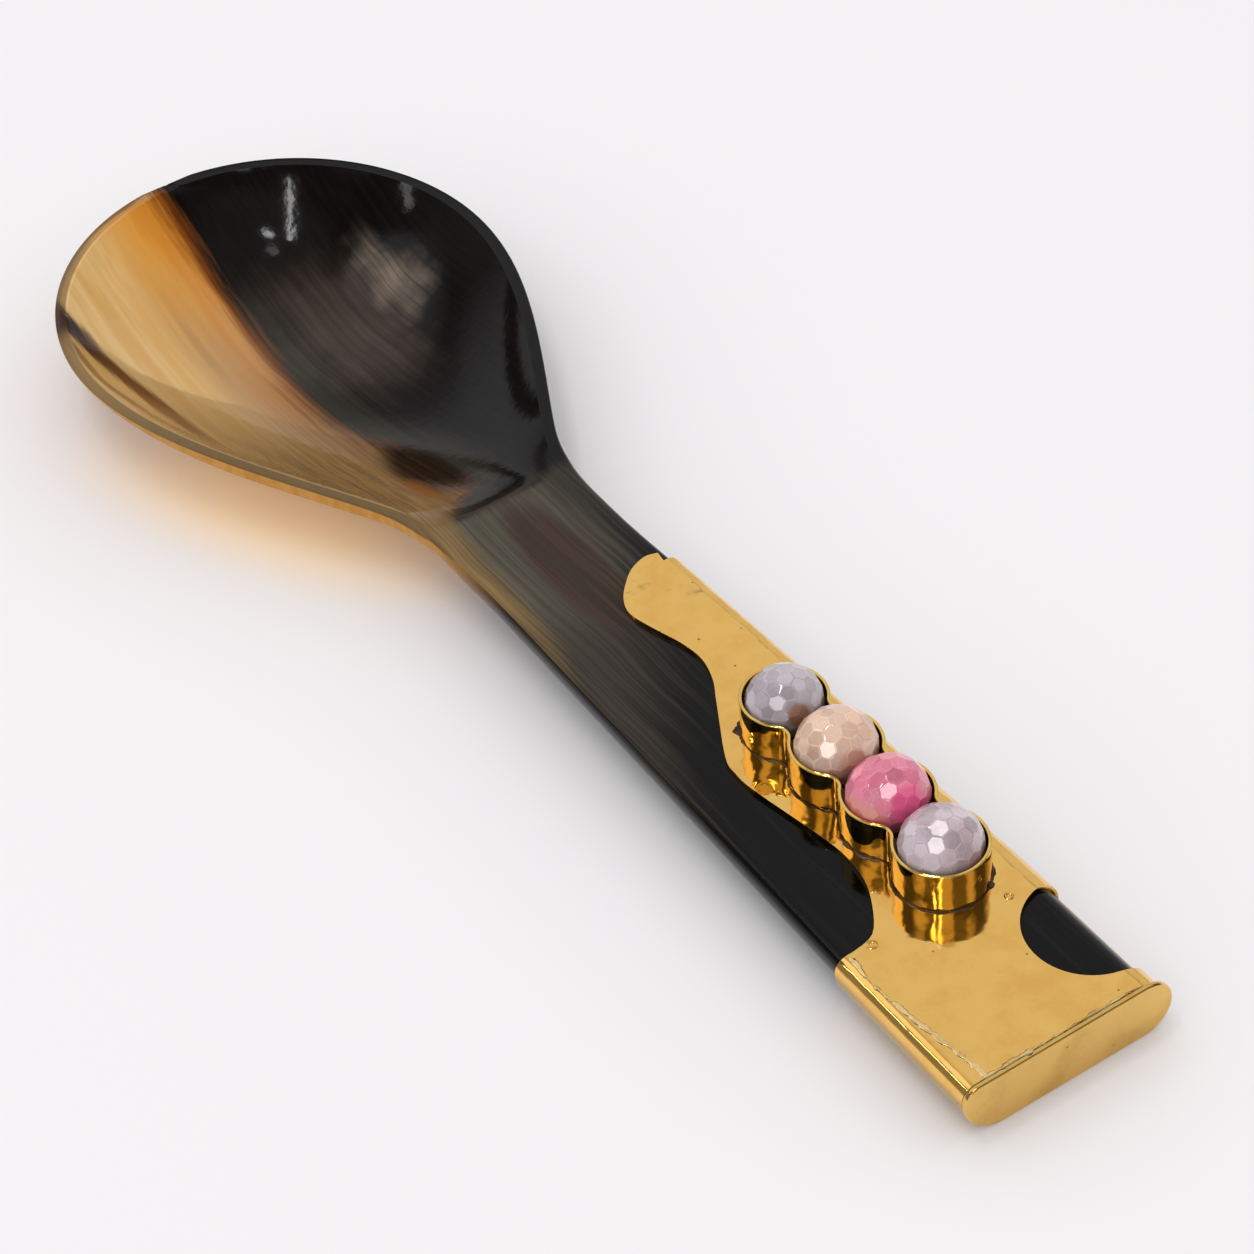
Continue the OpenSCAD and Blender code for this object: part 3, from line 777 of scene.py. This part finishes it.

# %% [markdown]
# The rim is olive along the amber side, with a fine pale line that is a painted highlight, and
# black along the other side. The wall outside is amber or dark in the same way.

# %% Rim, outer wall and polish
on_rim = ramp(tree, stored(tree, "band"), 0.25, 0.95)
in_bowl = ramp(tree, along, 132, 142)
dark_end = ramp(tree, along, 196, 226)
from_streak = stored(tree, "dark_streak")
rim_olive = mix(tree, ramp(tree, along, 175, 222), paint(104, 84, 54), paint(132, 104, 66))
rim_olive = glaze(tree, rim_olive, paint(54, 30, 22), ramp(tree, along, 214, 219),
                  ramp(tree, from_streak, -1.5, -0.8), ramp(tree, from_streak, 3.5, 2.0))
rim_olive = glaze(tree, rim_olive, paint(176, 132, 76), ramp(tree, along, 226, 238),
                  ramp(tree, side, 26, 18))
rim_olive = glaze(tree, rim_olive, paint(84, 62, 42),
                  ramp(tree, stored(tree, "edge"), 0.45, 0.8), dark_end, 0.85)
rim = mix(tree, clear, paint(8, 7, 7), rim_olive)
body = glaze(tree, body, rim, on_rim, in_bowl, 0.85)
# Painted highlight: a fine pale line along the rim on the amber side.
painted_rim_highlight = ramp(tree, apart(tree, stored(tree, "band"), 0.62), 0.30, 0.05)
body = glaze(tree, body, paint(186, 160, 118), painted_rim_highlight, clear, ramp(tree, along, 139, 146),
             ramp(tree, along, 219, 205), 0.5)
wall = glaze(tree, fibrous((26, 21, 18), (52, 42, 34)), fibrous((182, 126, 50), (194, 140, 64)),
             clear)
wall = glaze(tree, wall, black, ramp(tree, along, 142, 112))
wall = glaze(tree, wall, paint(70, 52, 36), ramp(tree, level, -1.8, -0.6), dark_end, 0.8)
body = glaze(tree, body, wall, ramp(tree, stored(tree, "band"), 1.3, 1.8))

bump = add(tree, "ShaderNodeBump", {"Height": streaks["Bump"], "Strength": 0.05,
                                    "Distance": 0.0004})
surface(tree, {"Base Color": body, "Roughness": 0.08, "Specular IOR Level": 0.16,
               "Normal": bump.outputs[0]})
horn.data.materials.append(horn_material)
print("horn material:", len(tree.nodes), "nodes")


# %% [markdown]
# ## The brass
# The mount and its end plate were cut from sheet, folded round the horn and soldered. A copy of
# each solid is merged into whole faces, and its edges get the small round that filing and
# polishing leave.

# %% Copy a solid and round its edges
def dressed_copy(node, name, edge, segments=3, angle=30, even=False):
    """A copy of a CAD node with whole faces and rounded edges, which have material slot 1."""
    bpy.ops.object.select_all(action="DESELECT")
    made = bpy.data.objects.new(name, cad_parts[node].data.copy())
    made.data.name = name
    bpy.context.scene.collection.objects.link(made)
    made.data.materials.clear()
    bpy.context.view_layer.objects.active = made
    made.select_set(True)
    bpy.ops.object.mode_set(mode="EDIT")
    bpy.ops.mesh.select_all(action="SELECT")
    bpy.ops.mesh.remove_doubles(threshold=2e-6)
    bpy.ops.mesh.dissolve_limited(angle_limit=math.radians(0.6))
    bpy.ops.object.mode_set(mode="OBJECT")
    round_off = made.modifiers.new("round", "BEVEL")
    round_off.width = edge * MM
    round_off.segments = segments
    round_off.limit_method = "ANGLE"
    round_off.angle_limit = math.radians(angle)
    round_off.material = 1
    bpy.ops.object.modifier_apply(modifier="round")
    bpy.ops.object.shade_smooth_by_angle(angle=math.radians(angle))
    if even:
        # Broad faces stay flat to the eye, and only the rounded edges turn the light.
        flat_first = made.modifiers.new("even", "WEIGHTED_NORMAL")
        flat_first.keep_sharp = True
        bpy.ops.object.modifier_apply(modifier="even")
    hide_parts(node)
    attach(made, "root")
    return made


# %% [markdown]
# The brass was polished by hand. Its surface is never quite flat, it has fine scratches along the
# handle, a few pits, and clouds where the polish is duller. One group of nodes draws all of these
# for the sheet, the plate, the bezel and the solder.

# %% Group of hand polish
polish, group_in, group_out = new_group(
    "hand_polish", [("Place", "NodeSocketVector", None), ("Wave", "NodeSocketFloat", 1.0)],
    [("Height", "NodeSocketFloat"), ("Cloud", "NodeSocketFloat"), ("Pit", "NodeSocketFloat")])
at = group_in["Place"]
swell, fine_swell = noise(polish, at, 0.11, 1.0), noise(polish, at, 0.42, 1.0)
waves = times(polish, math_node(polish, "MULTIPLY_ADD", fine_swell, 0.22, swell), group_in["Wave"])
scratched = add(polish, "ShaderNodeMapping", {
    "Vector": at, "Rotation": (0, 0, math.radians(24)), "Scale": (0.09, 5.0, 5.0)})
scratch = ramp(polish, noise(polish, scratched.outputs[0], 1.0, 3.0), 0.70, 0.76)
spots = add(polish, "ShaderNodeTexVoronoi", {"Vector": at, "Scale": 0.30})
pit = ramp(polish, spots.outputs["Distance"], 0.075, 0.045)
worn = math_node(polish, "MULTIPLY_ADD", scratch, 0.004, times(polish, pit, 0.02))
polish.links.new(math_node(polish, "SUBTRACT", waves, worn), group_out["Height"])
polish.links.new(ramp(polish, noise(polish, at, 0.16, 5.0, 0.65), 0.42, 0.68), group_out["Cloud"])
polish.links.new(pit, group_out["Pit"])
print(polish.name, len(polish.nodes), "nodes")

# %% [markdown]
# Each brass material takes two colours that the clouds mix, how wavy the sheet is, and how rough
# its polish is. The mount's folded sides are darker, a painted shade for the shaded table that they
# mirror close by, and its tongue is wavier than its sleeve. A few dents are placed one by one, as
# rings in the height.


# %% Brass
def brass(name, bright, dull, wave, rough, cloudy=0.5, shaded_side=None, dents=()):
    """A brass material. Its colours are linear, and a folded side's colour is a painted shade."""
    material, tree = new_material(name)
    place = stored(tree, "drawn", "Vector")
    if shaded_side:
        along, _, level = xyz(tree, place)
        wave = ramp(tree, along, 18, 44, wave, wave * 2.6)
    worked = add(tree, "ShaderNodeGroup", {"Place": place, "Wave": wave}, node_tree=polish).outputs
    colour = glaze(tree, bright, dull, worked["Cloud"], cloudy)
    if shaded_side:
        # Painted shade: the folded sides are darker, as they mirror the shaded table close by.
        colour = glaze(tree, colour, shaded_side, ramp(tree, level, -0.9, -2.4, 0.0, 0.85))
    colour = glaze(tree, colour, (0.16, 0.08, 0.03, 1), worked["Pit"], 0.8)
    relief = worked["Height"]
    for dent_at, radius, depth in dents:
        off_ring = apart(tree, vectors(tree, "DISTANCE", place, dent_at), radius)
        relief = math_node(tree, "ADD", relief, ramp(tree, off_ring, radius / 2, 0.0, 0.0, depth))
    bump = add(tree, "ShaderNodeBump", {"Height": relief, "Strength": 1.0, "Distance": 0.00022})
    surface(tree, {"Base Color": colour, "Metallic": 1.0, "Normal": bump.outputs[0],
                   "Roughness": ramp(tree, worked["Cloud"], 0.0, 1.0, rough, rough + 0.05)})
    return material


# Where each dent of the sheet is, and its radius and depth
dents = [((59.5, 5.5, 0.75), 1.4, 0.16), ((27.1, 10.8, 0.75), 0.6, 0.25),
         ((23.0, -9.1, 0.75), 0.5, 0.3), ((78.0, -4.0, 0.75), 2.2, 0.06)]
# The rounds along the brass edges take a paler brass: a painted highlight along each edge.
brass_edge_highlight = brass("brass_edge_highlight", (1.0, 0.70, 0.36, 1), (0.95, 0.60, 0.24, 1), 0.3, 0.3, 0.4)
sheet_brass = brass("sheet_brass", (0.95, 0.58, 0.160, 1), (0.86, 0.47, 0.10, 1), 0.9, 0.07, 0.6,
                    (0.54, 0.33, 0.10, 1), dents)
plate_brass = brass("plate_brass", (0.82, 0.52, 0.145, 1), (0.68, 0.41, 0.10, 1), 1.0, 0.17, 0.8)
bezel_brass = brass("bezel_brass", (0.92, 0.62, 0.17, 1), (0.80, 0.49, 0.09, 1), 1.4, 0.06)
for node, name, slot, edge, material in (
        ("brass_mount", "brass_sheet", "brass_sheet", 0.16, sheet_brass),
        ("end_plate", "brass_end_plate", "brass_plate", 0.3, plate_brass),
        ("bezel_strip", "brass_bezel", "brass_bezel", 0.12, bezel_brass)):
    piece = dressed_copy(node, name, edge, even=True)
    piece.data.materials.append(material)
    piece.data.materials.append(brass_edge_highlight)
    keep(piece, "drawn", straight(piece), 3)
    print(name, len(piece.data.polygons), "faces")

# %% [markdown]
# Solder holds the brass together. It ran along each joint and was never filed quite smooth. Each
# run is a thin low ridge, laid along a line of places, with a width and height that wander.

# %% A run of solder
wander = np.random.default_rng(7)


def solder(name, path, width, height, rough, step=0.35, pools=()):
    """A low ridge with an uneven width along a path in the straight drawing. It widens in pools."""
    path = np.asarray(path, float)
    gap = np.concatenate([[0], np.cumsum(np.linalg.norm(np.diff(path, axis=0), axis=1))])
    count = max(8, int(gap[-1] / step))
    spot = np.linspace(0, gap[-1], count)
    line = np.stack([np.interp(spot, gap, path[:, i]) for i in range(3)], 1)
    way = np.gradient(line, axis=0)
    way /= np.linalg.norm(way, axis=1)[:, None]
    out, upright = np.cross(way, (0, 0, 1.0)), np.array((0, 0, 1.0))
    uneven_width = np.convolve(wander.normal(size=count + 8), np.ones(4) / 4, "same")[4:-4]
    uneven_height = np.convolve(wander.normal(size=count + 8), np.ones(5) / 5, "same")[4:-4]
    ends = np.minimum(1, np.minimum(np.arange(count), np.arange(count)[::-1]) / 3 + 0.1)
    w = width / 2 * (1 + rough * 1.6 * uneven_width) * ends
    h = height * (1 + rough * uneven_height) * ends
    for pool in pools:
        w = w * (1 + 1.8 * np.exp(-((line[:, :2] - pool) ** 2).sum(1) / 2.2))
    line = line + out * (width / 2 * rough * uneven_height)[:, None]
    angle = np.radians(np.linspace(0, 360, 10, endpoint=False))
    rows = (line[:, None, :] + out[:, None, :] * (w[:, None] * np.cos(angle))[:, :, None]
            + upright * (h[:, None] * np.sin(angle))[:, :, None])
    made = close_up(wrap(name, rows), weld=1e-8, angle=60)
    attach(made, "root")
    keep(made, "drawn", straight(made), 3)
    print(name, round(gap[-1], 1), "mm long")
    return made


# %% Solder of the sleeve and its end plate
seam_height, joint_height = 0.74, 0.76
bright_solder = brass("bright_solder", (1.0, 0.74, 0.34, 1), (0.58, 0.31, 0.09, 1), 2.5, 0.2, 0.9)
dark_solder = brass("dark_solder", (0.15, 0.10, 0.06, 1), (0.04, 0.03, 0.02, 1), 3.0, 0.4, 1.0)
seam_line = [(27.5, 14.45), (24, 14.7), (20.9, 14.88), (16.5, 14.54), (11.3, 13.9), (6.8, 13.27),
             (1.3, 12.64), (-0.9, 12.53)]
seam = solder("sleeve_seam", [(a, b, seam_height) for a, b in seam_line], 0.78, 0.13, 0.45)
plate_line = [(0.05, b, joint_height) for b in np.linspace(13.6, -12.6, 24)]
joint = solder("plate_solder", plate_line, 0.62, 0.13, 0.6)
for piece in (seam, joint):
    piece.data.materials.append(bright_solder)

# %% [markdown]
# The bezel's foot is soldered to the tongue all the way round, and three of its corners were
# filled with more solder. The run follows the bezel's own outline: arcs round the four beads,
# joined by small arcs in the hollows between them.

# %% Solder at the foot of the bezel
bead_pitch, lobe_r, small_lobe_r, cusp_r = 11.9, 6.85, 6.5, 2.0
row_x, row_y = 49.45, -4.25
foot_out = 0.12


def lobe_outline(grow):
    """Outline of the bezel in the straight drawing, as in the part's source, moved out by grow."""
    radius = [small_lobe_r, lobe_r, lobe_r, lobe_r]
    at = [np.array(((1.5 - i) * bead_pitch, lobe_r - radius[i])) for i in range(4)]

    def bend(i, turn):
        way = at[i + 1] - at[i]
        gap = np.linalg.norm(way)
        r1, r2 = radius[i] + cusp_r, radius[i + 1] + cusp_r
        share = (r1 ** 2 - r2 ** 2 + gap ** 2) / (2 * gap)
        out = turn * math.sqrt(r1 ** 2 - share ** 2) * np.array((-way[1], way[0])) / gap
        return at[i] + share * way / gap + out

    def arc(middle_at, r, start_at, end_at, whole_turns=0):
        start, end = (math.atan2(*(p - middle_at)[::-1]) for p in (start_at, end_at))
        end += whole_turns * 2 * math.pi
        angles = np.linspace(start, end, max(3, int(abs(end - start) / 0.12)))[:-1]
        return [middle_at + r * np.array((math.cos(a), math.sin(a))) for a in angles]

    points = arc(at[0], radius[0] + grow, bend(0, 1), bend(0, -1))
    for i in range(3):
        points += arc(bend(i, -1), cusp_r - grow, at[i], at[i + 1])
        if i < 2:
            points += arc(at[i + 1], radius[i + 1] + grow, bend(i, -1), bend(i + 1, -1))
    points += arc(at[3], radius[3] + grow, bend(2, -1), bend(2, 1), 1)
    for i in (2, 1, 0):
        points += arc(bend(i, 1), cusp_r - grow, at[i + 1], at[i])
        if i > 0:
            points += arc(at[i], radius[i] + grow, bend(i, 1), bend(i - 1, 1))
    return np.array(points) + (row_x, row_y)


foot = lobe_outline(foot_out)
foot = np.concatenate([foot, foot[:1]])
foot_run = solder("bezel_solder", np.column_stack([foot, np.full(len(foot), joint_height)]),
                  0.44, 0.16, 0.55, 0.3, [(40.2, 1.7), (25.6, -8.2), (71.3, 1.6)])
foot_run.data.materials.append(dark_solder)

# %% [markdown]
# ## The beads
# Each bead is agate, cut with flat facets. The copies keep the facets, with a fine round between
# them. One group of nodes draws the stone: a slow veil between two colours, fine paler veins, a
# painted brightness for each facet as if each caught its own light, and painted shade at the foot
# down in the bezel, where less light comes in, with painted light towards the top.

# %% Group of veined stone
stone_group, group_in, group_out = new_group(
    "veined_stone",
    [("Place", "NodeSocketVector", None), ("Light", "NodeSocketColor", (1, 1, 1, 1)),
     ("Deep", "NodeSocketColor", (1, 1, 1, 1)), ("Vein", "NodeSocketColor", (1, 1, 1, 1)),
     ("Facet", "NodeSocketFloat", 0.5), ("Veins", "NodeSocketFloat", 0.5)],
    [("Color", "NodeSocketColor")])
at = group_in["Place"]
veil = ramp(stone_group, noise(stone_group, at, 0.15, 3.0, distortion=0.6), 0.36, 0.64)
colour = mix(stone_group, veil, group_in["Deep"], group_in["Light"])
shifted = vectors(stone_group, "ADD", at, noise(stone_group, at, 0.5, wanted="Color"))
cracks = add(stone_group, "ShaderNodeTexVoronoi", {"Vector": shifted, "Scale": 0.42},
             feature="DISTANCE_TO_EDGE").outputs["Distance"]
colour = glaze(stone_group, colour, group_in["Vein"],
               ramp(stone_group, cracks, 0.05, 0.0), group_in["Veins"])
# Painted light: each facet gets its own brightness, as if it caught its own light.
facet_light = add(stone_group, "ShaderNodeMapRange", {
    "Value": group_in["Facet"], "To Min": 0.76, "To Max": 1.18}).outputs[0]
low_down = ramp(stone_group, xyz(stone_group, at)["Z"], 4.5, 12.5, 0.72, 1.12)
lit = vectors(stone_group, "SCALE", colour, Scale=times(stone_group, facet_light, low_down))
stone_group.links.new(lit, group_out["Color"])
print(stone_group.name, len(stone_group.nodes), "nodes")

# %% [markdown]
# The four beads have one stone group with different colours, and soft patches of other colours
# where the stone has them. The rounds between the facets are ground duller, and they are painted
# paler as a painted highlight along the facet edges.

# %% Looks of the beads
# Lighter and deeper colour, colour and strength of the veins, and patches. A patch has its
# place, radii, colour and strength.
bead_looks = {
    "grey": ((182, 171, 176), (160, 149, 155), (214, 206, 208), 0.12,
             [((61.2, -2.8, 8.2), (2.7, 2.6, 2.8), (130, 84, 52), 0.9)]),
    "peach": ((222, 187, 162), (208, 168, 142), (238, 222, 206), 0.2,
              [((50.3, -3.4, 8.2), (2.2, 2.6, 2.0), (172, 122, 92), 0.45)]),
    "pink": ((222, 132, 152), (210, 112, 134), (242, 180, 196), 0.18,
             [((38.4, -4.2, 8.6), (3.6, 3.4, 3.6), (232, 70, 134), 0.75),
              ((49.4, -3.4, 8.4), (5.2, 2.4, 2.4), (226, 84, 140), 0.6),
              ((41.6, 1.6, 7.2), (5.4, 3.4, 3.0), (212, 130, 108), 0.75)]),
    "lilac": ((194, 178, 184), (166, 146, 150), (224, 216, 222), 0.14,
              [((26.2, -5.8, 7.2), (2.6, 2.6, 2.0), (168, 128, 112), 0.5)])}
edge_highlight_paler = 72


def stone(name, look, paler, rough):
    """A stone material from one of the looks, all of it paler by some steps of 255."""
    light, deep, vein, veins, patches = look
    material, tree = new_material(name)
    place = stored(tree, "drawn", "Vector")

    def pale_paint(shade, more):
        return paint(*[min(255, v + more) for v in shade])

    colour = add(tree, "ShaderNodeGroup", {
        "Place": place, "Facet": stored(tree, "facet"), "Veins": veins,
        "Light": pale_paint(light, paler), "Deep": pale_paint(deep, paler),
        "Vein": pale_paint(vein, paler)}, node_tree=stone_group).outputs["Color"]
    for middle_at, radii, shade, strength in patches:
        patch = blob(tree, place, middle_at, radii, 0.62)
        colour = glaze(tree, colour, pale_paint(shade, paler // 2), patch, strength)
    surface(tree, {"Base Color": colour, "Roughness": rough, "Specular IOR Level": 1.0,
                   "Coat Weight": 0.3, "Coat Roughness": 0.03})
    return material


# %% Beads
for colour, look in bead_looks.items():
    bead = dressed_copy("bead_" + colour, "faceted_bead_" + colour, 0.15, segments=2, angle=6)
    keep(bead, "drawn", straight(bead), 3)
    # A number from 0 to 1 for each facet, which looks random but depends only on how it faces
    facing = np.empty(len(bead.data.polygons) * 3)
    bead.data.polygons.foreach_get("normal", facing)
    facing = np.round(facing.reshape(-1, 3), 2)
    facet = np.abs(np.sin(facing @ (127.1, 311.7, 74.7)) * 43758.5453) % 1.0
    layer = bead.data.attributes.new("facet", "FLOAT", "FACE")
    layer.data.foreach_set("value", facet.astype(np.float32))
    bead.data.materials.append(stone("agate_" + colour, look, 0, 0.06))
    # The rounds between the facets are paler: a painted highlight along the facet edges.
    bead.data.materials.append(stone("agate_edge_highlight_" + colour, look, edge_highlight_paler, 0.2))
    print(bead.name, len(bead.data.polygons), "faces")

# %% [markdown]
# Cement beds the beads in the bezel. It is almost hidden, so the CAD node itself is kept, and
# gets only a dull brown.

# %% Cement
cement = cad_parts["setting_cement"]
cement_material, tree = new_material("cement")
surface(tree, {"Base Color": paint(116, 84, 48), "Roughness": 0.8})
cement.data.materials.clear()
cement.data.materials.append(cement_material)
print(cement.name, len(cement.data.polygons), "faces")
